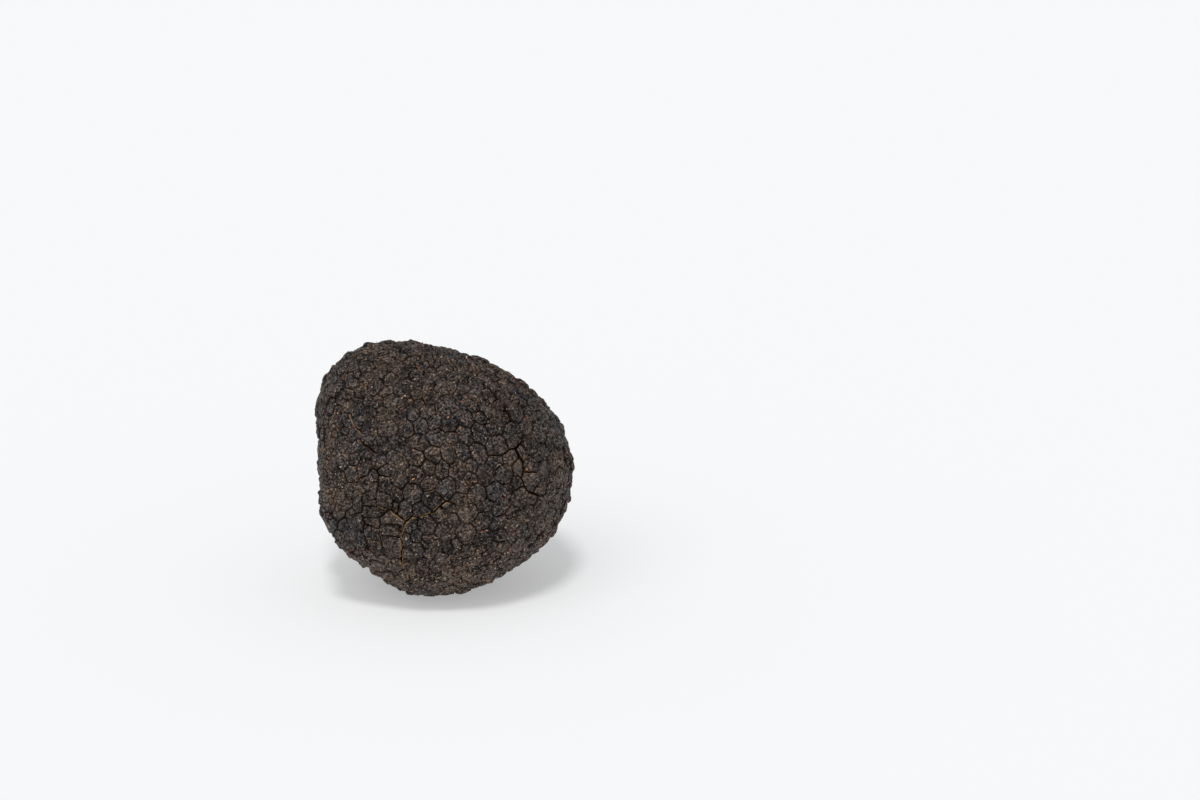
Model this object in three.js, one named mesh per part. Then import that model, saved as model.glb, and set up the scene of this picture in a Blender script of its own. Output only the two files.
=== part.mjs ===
// A whole black truffle, lying on the small flat spot under its belly.
//
// The fruit body is one piece: a lumpy tuber whose skin is covered all over with low pyramid warts, each with
// its own polygon outline, parted by narrow grooves. Lengths are millimetres and angles are degrees. +Z is up
// and -Y is the front. The origin is at the middle of the width and the depth, at the level it rests on.
import * as THREE from "three";
import { ConvexHull } from "three/addons/math/ConvexHull.js";
import { ImprovedNoise } from "three/addons/math/ImprovedNoise.js";

// The tuber before its swellings
const HALF_WIDTH = 29.6;
const HALF_DEPTH = 27.6;
const HALF_HEIGHT = 28.8;

// Swellings (rise above 0) and hollows (rise below 0): where each is centred, how high it stands and how far
// it spreads. Turn 0 is the front, 90 the right, 180 the back and -90 the left. Tilt is the height angle.
const SWELLINGS = [
  { name: "left shoulder", turn: -114, tilt: 40, rise: 6.6, spread: 33 },
  { name: "right slope", turn: 118, tilt: 54, rise: -1.5, spread: 32 },
  { name: "left flank", turn: -96, tilt: 8, rise: -3.4, spread: 23 },
  { name: "lower left", turn: -104, tilt: -22, rise: 1.6, spread: 19 },
  { name: "left underside", turn: -72, tilt: -44, rise: -1.3, spread: 20 },
  { name: "right underside", turn: 62, tilt: -50, rise: -1.7, spread: 32 },
  { name: "front plane", turn: 4, tilt: 12, rise: -1.4, spread: 34 },
  { name: "left front edge, upper", turn: -54, tilt: 4, rise: 1.5, spread: 13 },
  { name: "left front edge, lower", turn: -52, tilt: -16, rise: 2.1, spread: 13 },
  { name: "left side fold", turn: -72, tilt: -8, rise: -1.8, spread: 10 },
  { name: "front dimple", turn: -38, tilt: 54, rise: -1.9, spread: 15 },
  { name: "left front fold", turn: -54, tilt: 30, rise: -1.1, spread: 11 },
  { name: "back right lobe", turn: 140, tilt: -8, rise: 2.4, spread: 30 },
  { name: "back left lobe", turn: -152, tilt: -14, rise: 2.6, spread: 28 },
  { name: "back furrow", turn: 176, tilt: 4, rise: -3.0, spread: 18 },
  { name: "crown furrow", turn: 165, tilt: 48, rise: -1.6, spread: 18 },
];

// Uneven growth over the whole tuber
const LUMP_SIZE = 11;
const LUMP_RISE = 0.8;

// Warts: the least room between two middling tips, the shares of it that the smallest and the largest warts
// take, and the size by region
const WART_SPACING = 2.5;
const WART_SMALLEST = 0.68;
const WART_LARGEST = 1.4;
const WART_REGIONS = [
  { name: "broad warts on the front", turn: 8, tilt: 26, gain: 0.2, spread: 42 },
  { name: "fine warts on the left", turn: -95, tilt: 10, gain: -0.14, spread: 34 },
  { name: "fine warts underneath", turn: 0, tilt: -90, gain: -0.12, spread: 50 },
];
const TIP_RISE = 0.2; // of a wart's width
const TIP_RISE_CHANGE = 0.45; // of that rise, from wart to wart
const TIP_LEAN = 0.1; // of a wart's width, how far a tip stands off its middle

// The resting place: how deep the belly is pressed flat, measured at the bottom of the grooves
const FLATTENED = 0.95;

const SEED = 20417;
const DARTS = 90000; // tries at placing a wart before the skin counts as full
const PROBE = 0.02; // step, as a share of the radius, at which the slope of the tuber is read

// A steady stream of numbers from 0 to 1 for a whole-number seed.
function stream(seed) {
  let state = seed >>> 0;
  return () => {
    state = (state + 0x6d2b79f5) >>> 0;
    let mixed = Math.imul(state ^ (state >>> 15), state | 1);
    mixed ^= mixed + Math.imul(mixed ^ (mixed >>> 7), mixed | 61);
    return ((mixed ^ (mixed >>> 14)) >>> 0) / 4294967296;
  };
}

// The unit vector at a turn round the tuber and a tilt above its middle.
function direction({ turn, tilt }) {
  const a = THREE.MathUtils.degToRad(turn);
  const e = THREE.MathUtils.degToRad(tilt);
  return new THREE.Vector3(Math.sin(a) * Math.cos(e), -Math.cos(a) * Math.cos(e), Math.sin(e));
}

// 1 at a region's centre, falling smoothly to 0 beyond its spread.
function nearness(unit, region) {
  const away = unit.angleTo(region.centre) / THREE.MathUtils.degToRad(region.spread);
  return Math.exp(-away * away);
}

const swellings = SWELLINGS.map((s) => ({ ...s, centre: direction(s) }));
const wartRegions = WART_REGIONS.map((r) => ({ ...r, centre: direction(r) }));
const noise = new ImprovedNoise();

// The skin at the bottom of the grooves, in one direction from the middle.
function tuber(unit) {
  let radius = 1 / Math.hypot(unit.x / HALF_WIDTH, unit.y / HALF_DEPTH, unit.z / HALF_HEIGHT);
  for (const s of swellings) radius += s.rise * nearness(unit, s);
  const at = unit.clone().multiplyScalar(radius / LUMP_SIZE);
  radius += LUMP_RISE * noise.noise(at.x, at.y, at.z);
  return unit.clone().multiplyScalar(radius);
}

// The outward direction of the skin there, from two short steps along it.
function outward(unit) {
  const side = new THREE.Vector3(-unit.y, unit.x, 0.001).normalize();
  const up = new THREE.Vector3().crossVectors(unit, side);
  const here = tuber(unit);
  const step = (way) => tuber(unit.clone().addScaledVector(way, PROBE).normalize()).sub(here);
  return new THREE.Vector3().crossVectors(step(side), step(up)).normalize();
}

function randomUnit(random) {
  const z = 2 * random() - 1;
  const a = 2 * Math.PI * random();
  const flat = Math.sqrt(1 - z * z);
  return new THREE.Vector3(flat * Math.cos(a), flat * Math.sin(a), z);
}

// Warts are scattered like darts, and one is kept where it has room. Large ones are thrown first. The result
// is their directions from the middle of the tuber.
function scatterWarts(random) {
  const warts = [];
  for (let dart = 0; dart < DARTS; dart++) {
    const unit = randomUnit(random);
    const share = Math.pow(1 - dart / DARTS, 6);
    let width = WART_SPACING * THREE.MathUtils.lerp(WART_SMALLEST, WART_LARGEST, share);
    for (const r of wartRegions) width *= 1 + r.gain * nearness(unit, r);
    const at = tuber(unit);
    if (warts.every((w) => w.at.distanceTo(at) > (w.width + width) / 2)) warts.push({ unit, at, width });
  }
  return warts.map((w) => w.unit);
}

// Three warts meet at each groove corner, which is the middle of a triangle of the net between the warts.
// ring holds, for each wart, the corners round it.
function meetings(units) {
  const { faces } = new ConvexHull().setFromPoints(units);
  const wart = new Map(units.map((unit, i) => [unit, i]));
  const corner = new Map(faces.map((face, i) => [face, i]));
  const corners = faces.map((face) => middleOf(edgesOf(face).map((edge) => edge.head().point)));
  const ring = units.map(() => []);
  for (const face of faces) {
    for (const edge of edgesOf(face)) ring[wart.get(edge.tail().point)].push(corners[corner.get(face)]);
  }
  return { faces, wart, corner, corners, ring };
}

function edgesOf(face) {
  return [face.edge, face.edge.next, face.edge.next.next];
}

function middleOf(units) {
  const sum = new THREE.Vector3();
  for (const unit of units) sum.add(unit);
  return sum.normalize();
}

// The tip of a wart, raised over the middle of the corners round it and leaning a little to one side.
function tipOf(ring, random) {
  const unit = middleOf(ring);
  const base = tuber(unit);
  const width = (2 * ring.reduce((sum, corner) => sum + tuber(corner).distanceTo(base), 0)) / ring.length;
  const rise = width * TIP_RISE * (1 + TIP_RISE_CHANGE * (2 * random() - 1));
  const normal = outward(unit);
  const lean = randomUnit(random).multiplyScalar(width * TIP_LEAN).projectOnPlane(normal);
  return base.add(lean).addScaledVector(normal, rise);
}

// The skin: each wart is a fan of triangles from its tip to the groove corners round it.
function skin() {
  const random = stream(SEED);
  const units = scatterWarts(random);
  const { faces, wart, corner, corners, ring } = meetings(units);
  const grooves = corners.map(tuber);
  const points = [...ring.map((around) => tipOf(around, random)), ...grooves];
  const triangles = [];
  for (const face of faces) {
    for (const edge of edgesOf(face)) {
      const tip = wart.get(edge.tail().point);
      triangles.push(tip, units.length + corner.get(edge.twin.face), units.length + corner.get(face));
    }
  }
  return { points, triangles, grooves };
}

// The belly is pressed flat against the surface, and the tuber is centred over the origin.
function rest(points, grooves) {
  const floor = Math.min(...grooves.map((p) => p.z)) + FLATTENED;
  for (const p of points) p.z = Math.max(p.z, floor) - floor;
  const middle = new THREE.Box3().setFromPoints(points).getCenter(new THREE.Vector3());
  for (const p of points) p.sub(new THREE.Vector3(middle.x, middle.y, 0));
}

function truffleGeometry() {
  const { points, triangles, grooves } = skin();
  rest(points, grooves);
  const geometry = new THREE.BufferGeometry().setFromPoints(points).setIndex(triangles);
  geometry.computeVertexNormals();
  return geometry;
}

const skinMaterial = new THREE.MeshStandardMaterial({ color: 0x3c3633, roughness: 0.72, metalness: 0 });
const truffle = new THREE.Mesh(truffleGeometry(), skinMaterial);
truffle.name = "truffle";

const part = new THREE.Group();
part.add(truffle);

export default part;
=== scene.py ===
"""A whole black truffle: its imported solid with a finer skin, procedural colours and a plain studio."""
import heapq
import math
import random
from types import SimpleNamespace

import bmesh
import bpy
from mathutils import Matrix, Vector


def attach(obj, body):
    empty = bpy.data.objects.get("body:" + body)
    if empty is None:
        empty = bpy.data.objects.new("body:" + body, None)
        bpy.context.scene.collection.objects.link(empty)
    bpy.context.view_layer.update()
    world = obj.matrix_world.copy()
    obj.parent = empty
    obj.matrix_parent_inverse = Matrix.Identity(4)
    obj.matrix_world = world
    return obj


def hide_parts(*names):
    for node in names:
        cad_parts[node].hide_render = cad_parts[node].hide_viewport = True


bl_info = {
    "name": "Black Truffle",
    "version": (1, 0, 0),
    "blender": (4, 5, 0),
    "location": "3D View > Sidebar > Truffle",
    "description": "Covers the truffle's packed solid with fine warts, cracks and colours, and lights it",
    "category": "Add Mesh",
}

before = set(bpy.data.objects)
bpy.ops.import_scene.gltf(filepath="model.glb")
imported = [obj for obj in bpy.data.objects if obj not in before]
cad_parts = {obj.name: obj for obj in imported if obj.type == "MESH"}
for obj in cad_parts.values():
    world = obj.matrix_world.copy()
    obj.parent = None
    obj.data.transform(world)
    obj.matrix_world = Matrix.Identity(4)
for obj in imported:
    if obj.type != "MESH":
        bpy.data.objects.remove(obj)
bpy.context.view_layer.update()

MM = 0.001
NODE = "truffle"
BODY = "root"

# The photograph's frame in pixels, and where the middle of the truffle stands in it
PHOTO_WIDTH = 1200
PHOTO_HEIGHT = 800
TRUFFLE_PIXEL = (445, 469)
SENSOR_WIDTH = 36.0

# How near two corners of loose triangles are one point, and how many edges meet at every groove corner
SAME_POINT = 1e-6
CORNER_EDGES = 6

SEED = 21
TEAR_STRAIGHTNESS = 0.8  # how far a torn groove's corners slide onto straight lines between its stops

# How tan the edges of the other grooves can be, and how rare the tannest are
MOST_TAN = 0.35
TAN_RARITY = 7

# Torn grooves on the front. A route's stops are (x, z) in millimetres, as seen from the front. depth is how
# deep and wide the groove is torn, and lip how much tan flesh its edges show, both from 0 to 1.
CRACKS = [
    {"name": "fork, left arm", "depth": 1.0, "lip": 1.0,
     "route": [(-11.3, 27.6), (-9.5, 26.5), (-7.5, 25.0)]},
    {"name": "fork, right arm", "depth": 1.0, "lip": 1.0,
     "route": [(-7.5, 25.0), (-6.0, 26.3), (-1.2, 27.4), (0.3, 28.9), (2.1, 30.0)]},
    {"name": "fork, stem", "depth": 0.8, "lip": 0.9,
     "route": [(-7.5, 25.0), (-8.0, 22.4), (-8.3, 18.5), (-8.9, 15.5), (-9.0, 14.3), (-7.4, 10.8),
               (-7.3, 8.7)]},
    {"name": "right tear, upper", "depth": 1.0, "lip": 0.05,
     "route": [(10.1, 51.5), (12.8, 49.5), (14.8, 47.3), (16.0, 45.3), (17.6, 44.0), (18.2, 40.7)]},
    {"name": "right tear, lower", "depth": 0.8, "lip": 0.05,
     "route": [(18.2, 40.7), (17.0, 39.8), (18.7, 36.3), (18.5, 33.3), (20.0, 29.7), (22.1, 28.1)]},
    {"name": "right branch", "depth": 0.55, "lip": 0.1,
     "route": [(10.2, 41.5), (11.0, 39.3), (13.8, 38.8), (17.0, 39.8)]},
    {"name": "left tear, upper", "depth": 0.6, "lip": 0.8,
     "route": [(-20.4, 46.0), (-20.3, 44.9), (-19.5, 43.4), (-18.3, 43.0), (-17.6, 42.5)]},
    {"name": "left tear, lower", "depth": 1.0, "lip": 0.2,
     "route": [(-17.6, 42.5), (-17.9, 41.6), (-17.2, 40.8), (-14.8, 39.9), (-15.3, 38.2), (-15.1, 36.7),
               (-13.6, 35.2), (-13.8, 33.6)]},
    {"name": "left fold", "depth": 0.4, "lip": 0.1,
     "route": [(-18.1, 33.7), (-17.4, 30.4), (-17.7, 26.2), (-17.4, 21.3), (-16.8, 17.8)]},
    {"name": "inner fold", "depth": 0.4, "lip": 0.1,
     "route": [(-13.8, 33.6), (-14.4, 29.6), (-13.7, 25.4), (-13.6, 21.5), (-12.9, 17.9)]},
]


class Tree:
    """Builds a node tree. A value fed to a node is a number, a vector, a name or another node's output."""

    def __init__(self, tree):
        self.tree = tree
        self.tree.nodes.clear()

    def add(self, kind, feeds=None, output=0, **settings):
        """Adds a node, feeds its inputs by name or number, and gives back one of its outputs."""
        node = self.tree.nodes.new(kind)
        for key, value in settings.items():
            setattr(node, key, value)
        for key, value in (feeds or {}).items():
            if isinstance(value, bpy.types.NodeSocket):
                self.tree.links.new(value, node.inputs[key])
            else:
                node.inputs[key].default_value = value
        return node.outputs[output] if node.outputs else node

    def number(self, operation, *values, clamp=False):
        return self.add("ShaderNodeMath", dict(enumerate(values)), operation=operation, use_clamp=clamp)

    def product(self, value, *others):
        """Multiplies numbers, from the first to the last."""
        for other in others:
            value = self.number("MULTIPLY", value, other)
        return value

    def vector(self, operation, *values, output="Vector"):
        return self.add("ShaderNodeVectorMath", dict(enumerate(values)), output, operation=operation)

    def scaled(self, vector, share):
        return self.add("ShaderNodeVectorMath", {"Vector": vector, "Scale": share}, operation="SCALE")

    def ramp(self, value, low, high, start=0.0, end=1.0):
        """Goes smoothly from start to end as the value goes from low to high."""
        feeds = {"Value": value, "From Min": low, "From Max": high, "To Min": start, "To Max": end}
        return self.add("ShaderNodeMapRange", feeds, interpolation_type="SMOOTHSTEP")

    def blend(self, share, first, second):
        """Goes from the first number to the second as the share goes from 0 to 1."""
        return self.add("ShaderNodeMix", {0: share, 2: first, 3: second}, 0, data_type="FLOAT")

    def tint(self, share, first, second, blend_type="MIX"):
        """Goes from the first colour to the second, or to the two mixed another way."""
        feeds = {0: share, 6: first, 7: second}
        return self.add("ShaderNodeMix", feeds, 2, data_type="RGBA", blend_type=blend_type)

    def scale_for(self, size):
        """A texture's scale, from the width of its lumps as a number or as another node's output."""
        return self.number("DIVIDE", 1.0, size) if isinstance(size, bpy.types.NodeSocket) else 1.0 / size

    def noise(self, place, size, detail=2.0, roughness=0.5, output=0):
        """Cloudy noise whose lumps are about size wide."""
        feeds = {"Vector": place, "Scale": self.scale_for(size), "Detail": detail, "Roughness": roughness}
        return self.add("ShaderNodeTexNoise", feeds, output)


# Sizes and colours

def length(name, description, default):
    return bpy.props.FloatProperty(name=name, description=description, default=default, min=0.0,
                                   unit="LENGTH", precision=6)


def share(name, description, default):
    return bpy.props.FloatProperty(name=name, description=description, default=default, min=0.0, max=1.0,
                                   subtype="FACTOR")


def strength(name, description, default):
    return bpy.props.FloatProperty(name=name, description=description, default=default, min=0.0)


def colour(name, description, default):
    return bpy.props.FloatVectorProperty(name=name, description=description, default=default, size=4,
                                         min=0.0, max=1.0, subtype="COLOR")


class SkinSizes(bpy.types.PropertyGroup):
    """How the warts of the skin are shaped"""

    splits: bpy.props.IntProperty(name="Splits", description="Times each triangle of a wart is split finer",
                                  default=2, min=0, max=2)
    groove_width: length("Groove width", "From the bottom of a groove to the shoulder of a wart", 0.17 * MM)
    shoulder: share("Shoulder", "How much of a wart's height is its steep side", 0.5)
    faded: share("Faded", "How shallow the grooves are where they fade away", 0.7)
    fade_size: length("Fade size", "How wide the patches are where grooves fade away", 4.5 * MM)
    crowding: bpy.props.FloatProperty(name="Crowding", description="How far points crowd to the grooves",
                                      default=1.5, min=1.0, max=2.0)
    waver: length("Waver", "How far the grooves stray from straight lines", 0.75 * MM)
    waver_size: length("Waver size", "How long one stray of a groove is", 1.8 * MM)
    tilt: share("Tilt", "Rise of a wart's top to one side, as a share of its reach", 0.36)
    folds: length("Folds", "How deep the folds that run down from a tip are", 0.9 * MM)
    crumple: length("Crumple", "How deep the tops of the warts are crumpled", 0.48 * MM)
    crumple_size: length("Crumple size", "How wide one crumple is", 1.3 * MM)
    pit_depth: length("Pit depth", "How deep the hollow in a sunken wart is", 0.4 * MM)
    pit_share: share("Pit share", "Share of the warts that are sunken in the middle", 0.3)
    tear_depth: length("Tear depth", "How much deeper a torn groove is", 0.8 * MM)
    tear_width: length("Tear width", "From the bottom of a torn groove to its lip", 0.5 * MM)


class SkinColours(bpy.types.PropertyGroup):
    """The colours of the skin"""

    cool: colour("Cool black", "Slate black of the clean plates", (0.037, 0.033, 0.032, 1.0))
    warm: colour("Warm black", "Brown black of the dusty plates", (0.066, 0.047, 0.037, 1.0))
    # Painted shade: this near-black darkens the grooves, the pits and the middle of the tears
    groove: colour("Groove", "The bottom of the grooves", (0.010, 0.007, 0.006, 1.0))
    # Also painted highlight: this tan on the rims of the plates stands in for the rims catching the light
    crest: colour("Crest", "Worn crests of the warts", (0.195, 0.146, 0.120, 1.0))
    rust: colour("Rust", "Rusty stains beside the grooves", (0.130, 0.040, 0.016, 1.0))
    lip: colour("Lip", "Torn flesh along the cracks", (0.36, 0.22, 0.105, 1.0))
    speck: colour("Speck", "Pale grains on the skin", (0.67, 0.51, 0.38, 1.0))
    orange: colour("Orange", "Orange grains on the skin", (0.60, 0.26, 0.11, 1.0))


class StudioSettings(bpy.types.PropertyGroup):
    """The camera and the light"""

    lens: bpy.props.FloatProperty(name="Lens", description="Focal length on a 36 mm sensor", default=90.0,
                                  min=10.0, subtype="DISTANCE_CAMERA")
    distance: length("Distance", "From the camera to the truffle", 0.703)
    height_angle: bpy.props.FloatProperty(name="Height angle", description="How far the camera looks down",
                                          default=math.radians(18.0), subtype="ANGLE")
    aim_height: length("Aim height", "Height on the truffle that is at its place in the frame", 28.2 * MM)
    key_strength: strength("Key strength", "Strength of the light in front", 0.5)
    top_strength: strength("Top strength", "Strength of the light overhead", 1.32)
    fill_strength: strength("Fill strength", "Strength of the light all round", 0.46)
    floor: colour("Floor", "The pale floor", (0.62, 0.622, 0.625, 1.0))
    floor_glow: strength("Floor glow", "Light that the floor lets through", 0.355)


# The net of grooves and tips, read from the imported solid

def joined_net(node):
    """The node's loose triangles, joined where their corners meet."""
    net = bmesh.new()
    net.from_mesh(node.data)
    bmesh.ops.remove_doubles(net, verts=net.verts, dist=SAME_POINT)
    net.verts.index_update()
    net.faces.index_update()
    return net


def closing_groove(tip, face):
    """The groove that closes a triangle of the wart round this tip."""
    return next(edge for edge in face.edges if tip not in edge.verts)


def find_tips(net):
    """The tips of the warts: each triangle has one, and a groove has a triangle on either side."""
    first = next(v for v in net.verts if len(v.link_edges) != CORNER_EDGES)
    tips = {first}
    waiting = [first]
    while waiting:
        tip = waiting.pop()
        for face in tip.link_faces:
            groove = closing_groove(tip, face)
            for side in groove.link_faces:
                far = next(v for v in side.verts if v not in groove.verts)
                if far not in tips:
                    tips.add(far)
                    waiting.append(far)
    if any(sum(v in tips for v in face.verts) != 1 for face in net.faces):
        raise RuntimeError("the packed truffle isn't made of warts round single tips")
    return tips


def wart_facts(net, tips, rng):
    """Lowers each tip to the floor of its ring of corners, and keeps how high it stood."""
    warts = {}
    for tip in sorted(tips, key=lambda v: v.index):
        ring = [edge.other_vert(tip).co for edge in tip.link_edges]
        top = tip.co.copy()
        tip.co = sum(ring, Vector()) / len(ring)
        warts[tip] = {"rise": top - tip.co, "chance": rng.random()}
    net.normal_update()
    for tip, wart in warts.items():
        wart["height"] = max(0.0, wart["rise"].dot(tip.normal))
    return warts


def reach(tip, face):
    """How far the tip is from the groove that closes this triangle."""
    a, b = (v.co for v in closing_groove(tip, face).verts)
    return (tip.co - a).cross(b - a).length / (b - a).length


def groove_path(start, goal, tips):
    """The shortest way along the grooves from one corner to another."""
    best = {start: 0.0}
    came = {}
    queue = [(0.0, start.index, start)]
    while queue:
        far, _, corner = heapq.heappop(queue)
        if corner is goal:
            break
        for edge in corner.link_edges:
            other = edge.other_vert(corner)
            way = far + edge.calc_length()
            if other not in tips and way < best.get(other, math.inf):
                best[other] = way
                came[other] = corner
                heapq.heappush(queue, (way, other.index, other))
    path = [goal]
    while path[-1] is not start:
        path.append(came[path[-1]])
    return path[::-1]


def straighten(corner, start, goal):
    """Slides a groove corner over the skin, most of the way to the straight line between two others."""
    line = goal.co - start.co
    along = max(0.0, min(1.0, (corner.co - start.co).dot(line) / line.length_squared))
    away = start.co + line * along - corner.co
    corner.co += (away - corner.normal * away.dot(corner.normal)) * TEAR_STRAIGHTNESS


def pull_to(corner, spot):
    """Pulls a groove corner over the skin to a spot, as seen from the front."""
    away = Vector((spot.x - corner.co.x, 0.0, spot.z - corner.co.z))
    corner.co += away - Vector((0.0, away.dot(corner.normal) / corner.normal.y, 0.0))


def tear_grooves(net, tips):
    """Moves grooves onto the cracks. Gives how deep corners are torn, and how deep and tan edges are."""
    depths = {}
    torn = {}
    front = [v for v in net.verts if v not in tips and v.co.y < 0.0]
    for crack in CRACKS:
        stops = []
        for x, z in crack["route"]:
            spot = Vector((x * MM, 0.0, z * MM))
            stops.append(min(front, key=lambda v: (Vector((v.co.x, 0.0, v.co.z)) - spot).length))
            pull_to(stops[-1], spot)
        for start, goal in zip(stops, stops[1:]):
            path = groove_path(start, goal, tips)
            for corner in path:
                depths[corner] = max(depths.get(corner, 0.0), crack["depth"])
            for here, there in zip(path, path[1:]):
                torn[net.edges.get((here, there))] = (crack["depth"], crack["lip"])
            for corner in path[1:-1]:
                straighten(corner, start, goal)
    return depths, torn


def attribute(mesh, name, kind, domain, values):
    """Stores a number or a vector for each point or each face."""
    data = mesh.attributes.new(name, kind, domain).data
    if kind == "FLOAT_VECTOR":
        data.foreach_set("vector", [part for value in values for part in value])
    else:
        data.foreach_set("value", values)


def net_mesh():
    """The net as a mesh at groove level. Its attributes tell the nodes what stands on it."""
    net = joined_net(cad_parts[NODE])
    tips = find_tips(net)
    rng = random.Random(SEED)
    warts = wart_facts(net, tips, rng)
    depths, torn = tear_grooves(net, tips)
    verts = list(net.verts)
    faces = list(net.faces)
    tip_of = [next(v for v in face.verts if v in tips) for face in faces]
    groove_of = [closing_groove(tip, face) for tip, face in zip(tip_of, faces)]
    tan = {edge: MOST_TAN * rng.random() ** TAN_RARITY for edge in net.edges}
    outward = [v.normal.copy() for v in verts]
    mesh = bpy.data.meshes.new("truffle_net")
    net.to_mesh(mesh)
    attribute(mesh, "rise", "FLOAT", "POINT", [1.0 if v in tips else 0.0 for v in verts])
    attribute(mesh, "torn", "FLOAT", "POINT", [depths.get(v, 0.0) for v in verts])
    attribute(mesh, "outward", "FLOAT_VECTOR", "POINT", outward)
    attribute(mesh, "tip", "FLOAT_VECTOR", "FACE", [tip.co for tip in tip_of])
    attribute(mesh, "height", "FLOAT", "FACE", [warts[tip]["height"] for tip in tip_of])
    attribute(mesh, "reach", "FLOAT", "FACE", [reach(tip, face) for tip, face in zip(tip_of, faces)])
    attribute(mesh, "chance", "FLOAT", "FACE", [warts[tip]["chance"] for tip in tip_of])
    attribute(mesh, "gap", "FLOAT", "FACE", [torn.get(edge, (0.0, 0.0))[0] for edge in groove_of])
    attribute(mesh, "lip", "FLOAT", "FACE", [torn.get(edge, (0.0, tan[edge]))[1] for edge in groove_of])
    net.free()
    return mesh


# The fine skin, in Geometry Nodes

SOCKET_KINDS = {"FLOAT": "NodeSocketFloat", "INT": "NodeSocketInt"}
NOISE_MIDDLE = 0.5
FULL_SWING = 2.0  # takes a swing of a half either way to a swing of 1
TINY = 0.001  # keeps a division clear of 0
FAR_APART = 40.0  # keeps the noise of one wart clear of the next one's

# Heights over which the skin stops being low down, how much more readily its grooves fade there, and the
# noise at which a groove starts to fade and has faded
LOW_DOWN = (8.0 * MM, 26.0 * MM)
LOW_FADING = 0.06
FADING = (0.44, 0.6)

# At the deepest tear: the crowding of the points, how near they come to it, and the share of the waver left
TEAR_CROWDING = 0.95
TEAR_OPENING = 0.7
TEAR_WAVER = 0.3

WAVER_DETAIL = 1.0  # finer layers of the waver
WART_ROUNDNESS = 1.25  # more makes a wart blunter
FULL_LEAN = 0.6 * MM  # how far from its groove a wart's top leans fully
FOLD_COUNT = 1.1  # more gives more folds round a tip
PIT_PLACE = (0.35, 0.95)  # where a pit starts and is deepest, from 0 at the groove to 1 at the tip
CRUMPLE_ROUGHNESS = 0.6
GROOVE_CRUMPLE = 0.35  # share of the crumple at the bottom of a groove
LOWEST = (-1.0, -1.0, 0.0)  # only the floor holds the skin back


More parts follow.
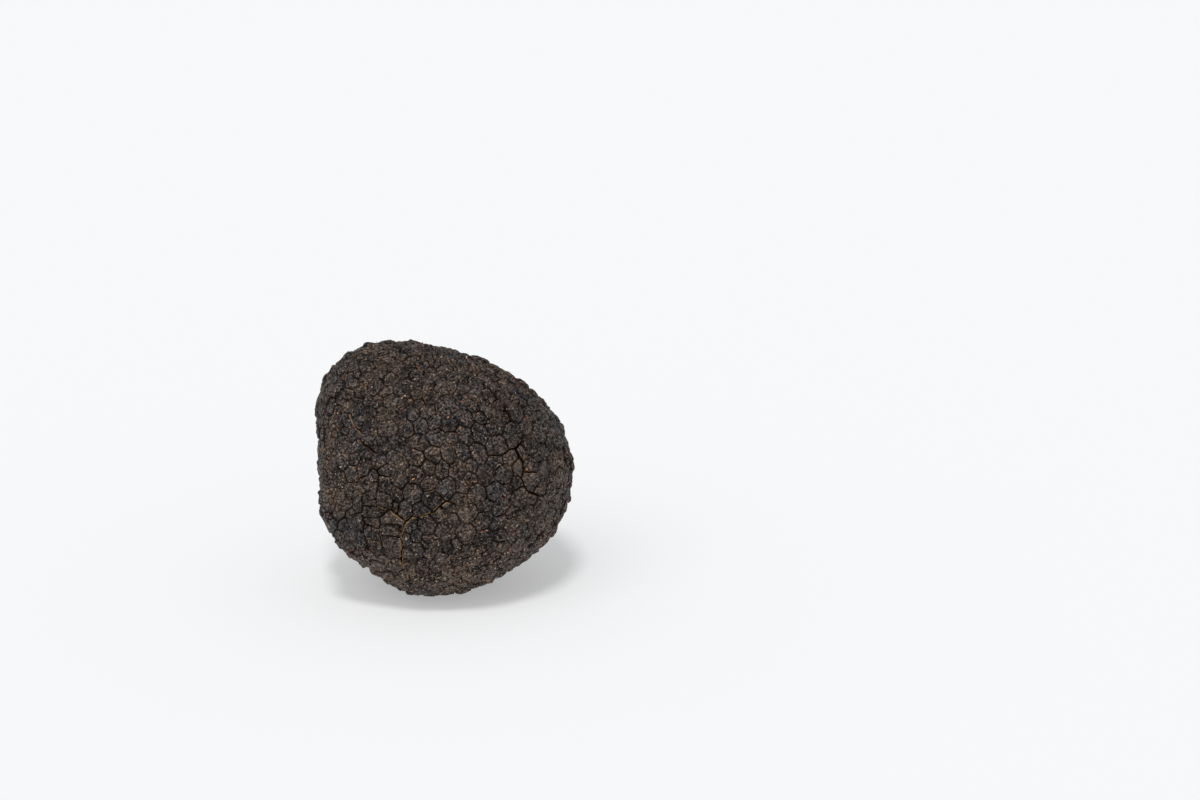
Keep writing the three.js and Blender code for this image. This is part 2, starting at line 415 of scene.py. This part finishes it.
def skin_nodes():
    """A tree that splits the net, rounds each wart over its own tip and roughens it all."""
    group = bpy.data.node_groups.new("truffle_skin", "GeometryNodeTree")
    group.interface.new_socket("Geometry", in_out="OUTPUT", socket_type="NodeSocketGeometry")
    group.interface.new_socket("Geometry", in_out="INPUT", socket_type="NodeSocketGeometry")
    for key in SkinSizes.__annotations__:
        sized = SkinSizes.bl_rna.properties[key]
        group.interface.new_socket(sized.name, in_out="INPUT", socket_type=SOCKET_KINDS[sized.type])
    group.interface.new_socket("Skin", in_out="INPUT", socket_type="NodeSocketMaterial")
    tree = Tree(group)
    given = group.nodes.new("NodeGroupInput").outputs

    def named(name, kind="FLOAT"):
        return tree.add("GeometryNodeInputNamedAttribute", {"Name": name}, data_type=kind)

    def store(geometry, name, value, kind="FLOAT", domain="POINT"):
        feeds = {"Geometry": geometry, "Name": name, "Value": value}
        return tree.add("GeometryNodeStoreNamedAttribute", feeds, data_type=kind, domain=domain)

    def swing(noise):
        """A noise that swings about 0."""
        return tree.number("SUBTRACT", noise, NOISE_MIDDLE)

    def swings(noise):
        """The same for a noise of three numbers."""
        return tree.vector("SUBTRACT", noise, (NOISE_MIDDLE, NOISE_MIDDLE, NOISE_MIDDLE))

    fine = tree.add("GeometryNodeSubdivideMesh", {"Mesh": given["Geometry"], "Level": given["Splits"]})
    base = tree.add("GeometryNodeInputPosition")
    outward = tree.vector("NORMALIZE", named("outward", "FLOAT_VECTOR"))
    chance = named("chance")
    torn = named("torn")

    # Points crowd towards the grooves, but less beside a tear, so that it gapes
    rise = named("rise")
    power = tree.blend(tree.product(torn, TEAR_OPENING), given["Crowding"], TEAR_CROWDING)
    crowded = tree.number("POWER", rise, power)
    down = tree.number("SUBTRACT", 1.0, crowded)
    even = tree.number("MAXIMUM", tree.number("SUBTRACT", 1.0, rise), TINY)
    tip = named("tip", "FLOAT_VECTOR")
    from_tip = tree.scaled(tree.vector("SUBTRACT", base, tip), tree.number("DIVIDE", down, even))
    spread = tree.vector("ADD", tip, from_tip)

    # The grooves stray sideways, never up or down. The tears stray less, so they keep near their routes
    stray = swings(tree.noise(spread, given["Waver size"], WAVER_DETAIL, output=1))
    stray = tree.vector("SUBTRACT", stray, tree.vector("PROJECT", stray, outward))
    waver = tree.product(tree.ramp(torn, 0.0, 1.0, 1.0, TEAR_WAVER), given["Waver"])
    wavy = tree.vector("ADD", spread, tree.scaled(stray, waver))

    # Each wart climbs from its groove and rounds over to its tip. Here and there a groove fades away
    edge = tree.product(crowded, named("reach"))
    side = tree.ramp(edge, 0.0, given["Groove width"])
    low = tree.ramp(tree.add("ShaderNodeSeparateXYZ", {0: spread}, 2), *LOW_DOWN, LOW_FADING, 0.0)
    fade = tree.ramp(tree.number("ADD", tree.noise(spread, given["Fade size"]), low), *FADING)
    fade = tree.product(fade, given["Faded"], tree.number("SUBTRACT", 1.0, torn, clamp=True))
    climb = tree.blend(fade, side, 1.0)
    bend = tree.number("SUBTRACT", 1.0, tree.number("POWER", down, WART_ROUNDNESS))
    height = tree.product(named("height"), tree.blend(given["Shoulder"], bend, climb))

    # Its top leans to one side, folds run down from the tip, and some tips are sunken
    way = swings(tree.add("ShaderNodeTexWhiteNoise", {"W": chance}, 1, noise_dimensions="1D"))
    leaning = tree.vector("DOT_PRODUCT", from_tip, way, output="Value")
    lean = tree.product(leaning, FULL_SWING, given["Tilt"], tree.ramp(edge, 0.0, FULL_LEAN))
    ray = tree.scaled(tree.vector("NORMALIZE", from_tip), FOLD_COUNT)
    ray = tree.vector("ADD", ray, tree.add("ShaderNodeCombineXYZ", {0: tree.product(chance, FAR_APART)}))
    fold = tree.product(swing(tree.noise(ray, 1.0)), given["Folds"], tree.product(side, down))
    sunken = tree.number("LESS_THAN", chance, given["Pit share"])
    pit = tree.product(tree.ramp(crowded, *PIT_PLACE), sunken)

    # Crumples, and the tears along the named cracks
    crumple = swing(tree.noise(wavy, given["Crumple size"], roughness=CRUMPLE_ROUGHNESS))
    crumple = tree.product(crumple, given["Crumple"], tree.blend(side, GROOVE_CRUMPLE, 1.0))
    tear = tree.product(torn, tree.ramp(edge, 0.0, given["Tear width"], 1.0, 0.0))

    for raised in (lean, fold, crumple):
        height = tree.number("ADD", height, raised)
    for lowered in (tree.product(pit, given["Pit depth"]), tree.product(tear, given["Tear depth"])):
        height = tree.number("SUBTRACT", height, lowered)
    resting = tree.vector("MAXIMUM", tree.vector("ADD", wavy, tree.scaled(outward, height)), LOWEST)

    # What the colours need to know travels with the mesh
    kept = store(fine, "from_tip", from_tip, "FLOAT_VECTOR", "CORNER")
    facts = {"edge": edge, "crown": crowded, "faded": fade, "crumple": crumple, "sunken": pit}
    for name, value in facts.items():
        kept = store(kept, name, value)
    moved = tree.add("GeometryNodeSetPosition", {"Geometry": kept, "Position": resting})
    smooth = tree.add("GeometryNodeSetShadeSmooth", {"Geometry": moved})
    whole = tree.add("GeometryNodeRealizeInstances", {"Geometry": smooth})
    dressed = tree.add("GeometryNodeSetMaterial", {"Geometry": whole, "Material": given["Skin"]})
    tree.add("NodeGroupOutput", {"Geometry": dressed})
    return group


def apply_nodes(mesh, group, values, name):
    """Runs a node tree on a mesh with these input values, and keeps the result as a plain mesh object."""
    holder = bpy.data.objects.new(name + "_net", mesh)
    bpy.context.scene.collection.objects.link(holder)
    modifier = holder.modifiers.new("nodes", "NODES")
    modifier.node_group = group
    for item in group.interface.items_tree:
        if item.in_out == "INPUT" and item.name in values:
            modifier[item.identifier] = values[item.name]
    evaluated = holder.evaluated_get(bpy.context.evaluated_depsgraph_get())
    plain = bpy.data.meshes.new_from_object(evaluated)
    plain.name = name
    bpy.data.objects.remove(holder)
    piece = bpy.data.objects.new(name, plain)
    bpy.context.scene.collection.objects.link(piece)
    return piece


# The materials

# The noises: how wide one lump is, how many finer layers it has, and how strong those are
NOISES = {
    "streaks": {"size": 1.0, "detail": 3.0, "roughness": 0.65},  # on a ball round the tip
    "grit": {"size": 0.46 * MM, "detail": 2.0, "roughness": 0.6},
    "grain": {"size": 0.95 * MM, "detail": 3.0, "roughness": 0.65},
    "creases": {"size": 1.9 * MM, "detail": 3.0, "roughness": 0.6},
    "stains": {"size": 3.5 * MM, "detail": 4.0, "roughness": 0.7},
    "patches": {"size": 9.0 * MM, "detail": 3.0, "roughness": 0.6},
    "clusters": {"size": 2.6 * MM, "detail": 2.0, "roughness": 0.5},
    "lumps": {"size": 0.62 * MM, "detail": 0.0, "roughness": 0.5},
}
STREAK_COUNT = 2.6  # the radius of that ball: more gives more streaks

# The ramps: where each starts and ends, then its values there where they aren't 0 and 1. Margins, rims,
# grooves, tears and lips are measured in millimetres from the bottom of the groove.
RAMPS = {
    "crease": (0.0, 0.09),
    "warm plates": (0.42, 0.6),
    "grit shade": (0.32, 0.68, 0.56, 1.5),
    "grain shade": (0.32, 0.68, 0.7, 1.35),
    "plate shade": (0.0, 1.0, 0.8, 1.2),
    # Striations, and partly painted shade standing in for light on the facets
    "streak and painted facet shade": (0.3, 0.7, 0.6, 1.4),
    # Painted light and shade on the crumples
    "painted crumple light and shade": (-0.08 * MM, 0.08 * MM, 0.6, 1.4),
    # Painted shade at the margins of the plates
    "painted margin shade": (0.04, 0.42, 0.5, 1.14),
    "rim start": (0.12, 0.26),
    "rim end": (0.3, 0.9, 1.0, 0.6),
    # Wear and painted highlight on the rims
    "crest tint and highlight stains": (0.4, 0.58),
    "crest tint and highlight grit": (0.5, 0.62),
    "rusty margin": (0.15, 0.6, 1.0, 0.1),
    "rusty stains": (0.52, 0.66),
    "rusty grain": (0.42, 0.6),
    # Painted shade in the grooves, made patchy over the stains noise
    "painted groove shade": (0.04, 0.19, 0.95, 0.0),
    "patchy painted groove shade": (0.35, 0.52, 1.0, 0.55),
    # Painted shadow in the middle of a tear
    "painted tear shadow": (0.0, 0.09, 1.0, 0.0),
    "deep tear": (0.1, 0.7),
    "lip start": (0.17, 0.24),
    "lip end": (0.36, 0.48, 1.0, 0.0),
    "lip grain": (0.35, 0.55, 0.25, 1.0),
    "grit spots": (0.665, 0.705),
    "spot clusters": (0.47, 0.58),
    "lump spots": (0.79, 0.82),
    "lump clusters": (0.45, 0.52),
    "orange spots": (0.46, 0.58),
    "grit shine": (0.4, 0.65, 0.02, 0.6),
    "grain shine": (0.35, 0.6, 0.3, 1.0),
    "roughness": (0.3, 0.7, 0.36, 0.62),
}
# Painted shade: how bright the skin is in a crease and beside it
CREASE_PAINTED_SHADE = (0.45, 1.1)  # in a crease and beside it

# What being low down adds to each of these
LOW_WARMTH = 0.06
# Painted light: brighter low down, standing in for light bounced up from the floor
LOW_PAINTED_LIGHT = 0.3
LOW_CLUSTERS = 0.08
LOW_GRIT = 0.03
LOW_LUMPS = 0.035

# The most that each of these covers the skin
MOST_RUST = 0.8
# Painted shade in the sunken middles of the pits
MOST_PIT_SHADE = 0.8
MOST_SPOTS = 0.9

# How far the painted black shadow of the deepest tear reaches from the bottom of its groove, and what the
# tannest lip adds to that, in millimetres
TEAR_BLACK = 0.3
LIP_ON_BLACK = -0.18

# How high each stands in the fine relief, in millimetres
RELIEF = {"grit": 0.26, "grain": 0.4, "streaks": 0.3, "crease": 0.14}


def peridium(colours):
    """Brown-black plates with painted shade in the grooves, pits, tears, creases and margins, worn crests
    that are partly painted highlight, rusty stains, bright grains and torn tan lips.
    """
    material = bpy.data.materials.new("truffle_peridium")
    material.use_nodes = True
    tree = Tree(material.node_tree)
    at = skin_facts(tree)
    skin = plates(tree, at, colours)
    skin = wear_and_rim_highlights(tree, at, skin, colours)
    skin, dark = grooves(tree, at, skin, colours)
    skin, black = tears(tree, at, skin, colours)
    skin = grains(tree, at, skin, colours)
    # Where shade is painted into the grooves and the tears; these places get no shine
    hollow = tree.number("MAXIMUM", dark, black)
    feeds = {
        "Base Color": skin,
        "Roughness": ramped(tree, "roughness", at.grain),
        "Specular IOR Level": shine(tree, at, hollow),
        "Normal": relief(tree, at),
    }
    tree.add("ShaderNodeOutputMaterial", {"Surface": tree.add("ShaderNodeBsdfPrincipled", feeds)})
    return material


def ramped(tree, name, value):
    """A value sent through the ramp of this name."""
    return tree.ramp(value, *RAMPS[name])


def skin_facts(tree):
    """What the colours go by: each point's place on its wart, and the noises there."""
    place = tree.add("ShaderNodeTexCoord", output="Object")

    def named(name, output="Fac"):
        return tree.add("ShaderNodeAttribute", output=output, attribute_name=name)

    at = SimpleNamespace()
    for name in ("chance", "crumple", "sunken", "gap", "lip"):
        setattr(at, name, named(name))
    at.edge = tree.product(named("edge"), 1.0 / MM)
    at.clear = tree.number("SUBTRACT", 1.0, named("faded"))
    at.low = tree.ramp(tree.add("ShaderNodeSeparateXYZ", {0: place}, 2), *LOW_DOWN, 1.0, 0.0)
    for name in ("grit", "grain", "stains", "patches", "clusters", "lumps"):
        setattr(at, name, tree.noise(place, **NOISES[name]))

    # Creases wind along the middle of a noise. Streaks run from each tip to its groove
    folds = tree.number("SUBTRACT", tree.noise(place, **NOISES["creases"]), NOISE_MIDDLE)
    at.crease = ramped(tree, "crease", tree.number("ABSOLUTE", folds))
    ray = tree.scaled(tree.vector("NORMALIZE", named("from_tip", "Vector")), STREAK_COUNT)
    own = tree.add("ShaderNodeCombineXYZ", {0: tree.product(at.chance, FAR_APART), 1: named("crown")})
    at.streaks = tree.noise(tree.vector("ADD", ray, own), **NOISES["streaks"])
    return at


def plates(tree, at, colours):
    """Slate and brown plates, with painted shade at their margins, in the creases and in the crumples'
    hollows, painted light on the crumples' crests and low down, and streaks that are partly painted facet
    shade.
    """
    warmth = tree.number("MULTIPLY_ADD", at.low, LOW_WARMTH, at.patches)
    skin = tree.tint(ramped(tree, "warm plates", warmth), tuple(colours.cool), tuple(colours.warm))
    brightness = tree.product(
        ramped(tree, "grit shade", at.grit),
        ramped(tree, "grain shade", at.grain),
        ramped(tree, "plate shade", at.chance),
        # Streaks like the skin's striations, which also stand in for lit and shaded facets: partly painted
        # shade
        ramped(tree, "streak and painted facet shade", at.streaks),
        # Painted shade: darker in the creases
        tree.blend(at.crease, *CREASE_PAINTED_SHADE),
        # Painted light and shade: lighter on the crumples' crests, darker in their hollows
        ramped(tree, "painted crumple light and shade", at.crumple),
        # Painted shade: each plate is darker at its margins beside the grooves and a little lighter inward
        tree.blend(at.clear, 1.0, ramped(tree, "painted margin shade", at.edge)),
        # Painted light: the skin is made brighter low down, standing in for light bounced up from the floor
        tree.number("MULTIPLY_ADD", at.low, LOW_PAINTED_LIGHT, 1.0),
    )
    return tree.tint(1.0, skin, brightness, "MULTIPLY")


def wear_and_rim_highlights(tree, at, skin, colours):
    """Worn tan crests, mostly at the rims of the plates, that are also painted highlight of the rims
    catching the light, and rust, mostly beside the grooves.
    """
    # Tan at the rims of the plates: part wear, part painted highlight of the rims catching the light
    crest_tint_and_highlight = tree.product(
        ramped(tree, "rim start", at.edge),
        ramped(tree, "rim end", at.edge),
        ramped(tree, "crest tint and highlight stains", at.stains),
        ramped(tree, "crest tint and highlight grit", at.grit),
    )
    rusty = tree.product(
        ramped(tree, "rusty margin", at.edge),
        ramped(tree, "rusty stains", at.stains),
        ramped(tree, "rusty grain", at.grain),
        MOST_RUST,
    )
    return tree.tint(rusty, tree.tint(crest_tint_and_highlight, skin, tuple(colours.crest)), tuple(colours.rust))


def grooves(tree, at, skin, colours):
    """Painted shade in the grooves and in the sunken pits, and how strong the painted groove shade is."""
    # Painted shade: the grooves are darkened towards their bottoms, patchily over the stains noise
    dark = tree.product(
        ramped(tree, "painted groove shade", at.edge),
        at.clear,
        ramped(tree, "patchy painted groove shade", at.stains),
    )
    skin = tree.tint(dark, skin, tuple(colours.groove))
    # Painted shade: the sunken middles of the pits are darkened as well
    return tree.tint(tree.product(at.sunken, MOST_PIT_SHADE), skin, tuple(colours.groove)), dark


def tears(tree, at, skin, colours):
    """Torn grooves, with a painted black shadow in the middle and tan lips either side of it, and how
    strong that painted shadow is.
    """
    width = tree.number("MULTIPLY_ADD", at.lip, LIP_ON_BLACK, tree.product(at.gap, TEAR_BLACK))
    # Painted shadow: the middle of a deep tear is painted black
    black = tree.product(
        ramped(tree, "painted tear shadow", tree.number("SUBTRACT", at.edge, width)),
        ramped(tree, "deep tear", at.gap),
    )
    lips = tree.product(
        ramped(tree, "lip start", at.edge),
        ramped(tree, "lip end", at.edge),
        at.lip,
        ramped(tree, "lip grain", at.grain),
    )
    return tree.tint(lips, tree.tint(black, skin, tuple(colours.groove)), tuple(colours.lip)), black


def grains(tree, at, skin, colours):
    """Bright grains, in clusters here and there, and more of them low down."""
    clusters = tree.number("MULTIPLY_ADD", at.low, LOW_CLUSTERS, at.clusters)
    grit = tree.number("MULTIPLY_ADD", at.low, LOW_GRIT, at.grit)
    lumps = tree.number("MULTIPLY_ADD", at.low, LOW_LUMPS, at.lumps)
    small = tree.product(ramped(tree, "grit spots", grit), ramped(tree, "spot clusters", clusters))
    large = tree.product(ramped(tree, "lump spots", lumps), ramped(tree, "lump clusters", clusters))
    spots = tree.product(tree.number("MAXIMUM", small, large), MOST_SPOTS)
    pale = tree.tint(ramped(tree, "orange spots", at.stains), tuple(colours.speck), tuple(colours.orange))
    return tree.tint(spots, skin, pale)


def shine(tree, at, hollow):
    """The grit and the grain shine unevenly, and there is no shine where shade is painted into the grooves
    and the tears.
    """
    grit = ramped(tree, "grit shine", at.grit)
    grain = ramped(tree, "grain shine", at.grain)
    return tree.product(grit, grain, tree.number("SUBTRACT", 1.0, hollow))


def relief(tree, at):
    """The fine relief of the skin."""
    height = 0.0
    for name, depth in RELIEF.items():
        height = tree.number("ADD", height, tree.product(getattr(at, name), depth))
    return tree.add("ShaderNodeBump", {"Strength": 1.0, "Distance": MM, "Height": height})


FLOOR_ROUGHNESS = 0.6
FLOOR_GLOW_COLOUR = (0.985, 0.995, 1.0, 1.0)


def floor_material(studio):
    """A pale floor that is also lit a little from below, so that shadows stay pale."""
    material = bpy.data.materials.new("pale_floor")
    material.use_nodes = True
    shader = material.node_tree.nodes["Principled BSDF"]
    shader.inputs["Base Color"].default_value = studio.floor
    shader.inputs["Roughness"].default_value = FLOOR_ROUGHNESS
    shader.inputs["Specular IOR Level"].default_value = 0.0
    shader.inputs["Emission Color"].default_value = FLOOR_GLOW_COLOUR
    shader.inputs["Emission Strength"].default_value = studio.floor_glow
    return material


# Operators

class TRUFFLE_OT_skin(bpy.types.Operator):
    """Make the truffle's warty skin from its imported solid"""

    bl_idname = "truffle.skin"
    bl_label = "Warty Skin"

    def execute(self, context):
        sizes = context.scene.truffle_sizes
        values = {"Skin": peridium(context.scene.truffle_colours)}
        for key in SkinSizes.__annotations__:
            values[SkinSizes.bl_rna.properties[key].name] = getattr(sizes, key)
        piece = apply_nodes(net_mesh(), skin_nodes(), values, "truffle_skin")
        if not piece.data.polygons:
            raise RuntimeError("the skin came out empty")
        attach(piece, BODY)
        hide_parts(NODE)
        return {"FINISHED"}


class TRUFFLE_OT_studio(bpy.types.Operator):
    """Make the floor, the light and the camera"""

    bl_idname = "truffle.studio"
    bl_label = "Studio"

    def execute(self, context):
        studio = context.scene.truffle_studio
        make_floor(context, studio)
        make_light(context, studio)
        make_camera(context, studio)
        return {"FINISHED"}


FLOOR_RADIUS = 4.0
FLOOR_SIDES = 96
FILL_COLOUR = (0.97, 0.985, 1.0, 1.0)

# Where the lights stand: turn goes from the front towards the right, tilt upwards, and spread is how wide a
# light looks from the truffle
KEY_LIGHT = {"turn": math.radians(-40.0), "tilt": math.radians(48.0), "spread": math.radians(40.0)}
TOP_LIGHT = {"turn": math.radians(-6.0), "tilt": math.radians(64.0), "spread": math.radians(12.0)}


def make_floor(context, studio):
    net = bmesh.new()
    bmesh.ops.create_circle(net, cap_ends=True, segments=FLOOR_SIDES, radius=FLOOR_RADIUS)
    mesh = bpy.data.meshes.new("floor")
    net.to_mesh(mesh)
    net.free()
    mesh.materials.append(floor_material(studio))
    floor = bpy.data.objects.new("floor", mesh)
    context.scene.collection.objects.link(floor)


def make_light(context, studio):
    world = bpy.data.worlds.new("studio_white")
    world.use_nodes = True
    background = world.node_tree.nodes["Background"]
    background.inputs["Color"].default_value = FILL_COLOUR
    background.inputs["Strength"].default_value = studio.fill_strength
    context.scene.world = world
    make_sun(context, "key", studio.key_strength, **KEY_LIGHT)
    make_sun(context, "top", studio.top_strength, **TOP_LIGHT)


def make_sun(context, name, strength, turn, tilt, spread):
    light = bpy.data.lights.new(name, "SUN")
    light.energy = strength
    light.angle = spread
    sun = bpy.data.objects.new(name, light)
    towards = Vector((math.sin(turn) * math.cos(tilt), -math.cos(turn) * math.cos(tilt), math.sin(tilt)))
    sun.rotation_euler = towards.to_track_quat("Z", "Y").to_euler()
    context.scene.collection.objects.link(sun)


def make_camera(context, studio):
    """The truffle keeps its place in the photograph's frame, so the camera looks past its right side."""
    lens = bpy.data.cameras.new("camera")
    lens.sensor_width = SENSOR_WIDTH
    lens.lens = studio.lens
    pixel = studio.distance * SENSOR_WIDTH / studio.lens / PHOTO_WIDTH
    forward = Vector((0.0, math.cos(studio.height_angle), -math.sin(studio.height_angle)))
    up = Vector((0.0, math.sin(studio.height_angle), math.cos(studio.height_angle)))
    right = (TRUFFLE_PIXEL[0] - PHOTO_WIDTH / 2) * pixel
    above = (PHOTO_HEIGHT / 2 - TRUFFLE_PIXEL[1]) * pixel
    camera = bpy.data.objects.new("camera", lens)
    aim = Vector((0.0, 0.0, studio.aim_height))
    camera.location = aim - forward * studio.distance - up * above - Vector((right, 0.0, 0.0))
    camera.rotation_euler = (math.pi / 2 - studio.height_angle, 0.0, 0.0)
    context.scene.collection.objects.link(camera)
    context.scene.camera = camera
    context.scene.view_settings.view_transform = "Standard"


class TRUFFLE_PT_panel(bpy.types.Panel):
    """The truffle's tools"""

    bl_label = "Truffle"
    bl_idname = "TRUFFLE_PT_panel"
    bl_space_type = "VIEW_3D"
    bl_region_type = "UI"
    bl_category = "Truffle"

    def draw(self, context):
        for operator in OPERATORS:
            self.layout.operator(operator.bl_idname)
        for name, group in SETTINGS.items():
            for key in group.__annotations__:
                self.layout.prop(getattr(context.scene, name), key)


SETTINGS = {"truffle_sizes": SkinSizes, "truffle_colours": SkinColours, "truffle_studio": StudioSettings}
OPERATORS = (TRUFFLE_OT_skin, TRUFFLE_OT_studio)


def register():
    for cls in (*SETTINGS.values(), *OPERATORS, TRUFFLE_PT_panel):
        bpy.utils.register_class(cls)
    for name, group in SETTINGS.items():
        setattr(bpy.types.Scene, name, bpy.props.PointerProperty(type=group))


def unregister():
    for name in SETTINGS:
        delattr(bpy.types.Scene, name)
    for cls in (TRUFFLE_PT_panel, *reversed(OPERATORS), *reversed(SETTINGS.values())):
        bpy.utils.unregister_class(cls)


def main():
    register()
    bpy.ops.truffle.studio()
    bpy.ops.truffle.skin()


if __name__ == "__main__":
    main()
